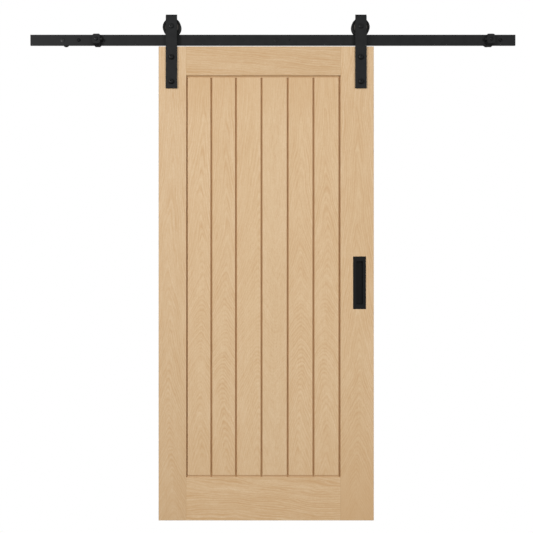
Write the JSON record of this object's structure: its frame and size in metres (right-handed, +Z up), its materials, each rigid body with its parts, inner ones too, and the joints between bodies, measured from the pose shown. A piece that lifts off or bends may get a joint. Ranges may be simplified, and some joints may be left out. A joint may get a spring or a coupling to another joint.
{
  "type": "sliding door",
  "caption": "Oak plank-panelled sliding door leaf hung by straight strap hangers and grooved wheels from a flat black steel wall track with buffered end stops and a recessed flush pull.",
  "frame": {"origin": "centre of the wall face of the middle track spacer, on the wall plane", "axes": "+X right along the track seen from the room, +Y into the wall, +Z up"},
  "size_m": [2.0967, 0.065, 2.1758],
  "materials": {
    "oak": "clear satin lacquer on oak",
    "black_steel": "satin black powder coat",
    "black_bolts": "satin black",
    "buffer_rubber": "matt black rubber"
  },
  "bodies": {
    "track": {"track_bar": "black_steel", "wall_spacer_left": "black_steel", "wall_spacer_middle": "black_steel", "wall_spacer_right": "black_steel", "wall_bolt_left": "black_bolts", "wall_bolt_middle": "black_bolts", "wall_bolt_right": "black_bolts", "track_screw_left": "black_bolts", "track_screw_right": "black_bolts", "stop_block_left": "black_steel", "stop_block_right": "black_steel", "stop_bolt_left": "black_bolts", "stop_buffer_left": "buffer_rubber", "stop_buffer_right": "buffer_rubber"},
    "leaf": {"left_stile": "oak", "right_stile": "oak", "top_rail": "oak", "bottom_rail": "oak", "panel_board_1": "oak", "panel_board_2": "oak", "panel_board_3": "oak", "panel_board_4": "oak", "panel_board_5": "oak", "panel_board_6": "oak", "hanger_strap_left": "black_steel", "hanger_strap_right": "black_steel", "hanger_bolt_left_upper": "black_bolts", "hanger_bolt_left_lower": "black_bolts", "hanger_bolt_right_upper": "black_bolts", "hanger_bolt_right_lower": "black_bolts", "axle_bolt_left": "black_bolts", "axle_bolt_right": "black_bolts", "flush_pull_front": "black_steel", "flush_pull_back": "black_steel"},
    "left_wheel": {"wheel_left": "black_steel"},
    "right_wheel": {"wheel_right": "black_steel"}
  },
  "joints": [
    {"name": "door_slide", "type": "slide", "parent": "track", "child": "leaf", "axis": [1, 0, 0], "range_m": [-0.267, 0.503]},
    {"name": "left_wheel_spin", "type": "hinge", "parent": "leaf", "child": "left_wheel", "pos_m": [-0.451, -0.038, 0.054], "axis": [0, 1, 0], "continuous": true},
    {"name": "right_wheel_spin", "type": "hinge", "parent": "leaf", "child": "right_wheel", "pos_m": [0.363, -0.038, 0.054], "axis": [0, 1, 0], "continuous": true}
  ],
  "couplings": [
    {"joint": "left_wheel_spin", "follows": "door_slide", "rad_per_m": 32.468},
    {"joint": "right_wheel_spin", "follows": "door_slide", "rad_per_m": 32.468}
  ]
}
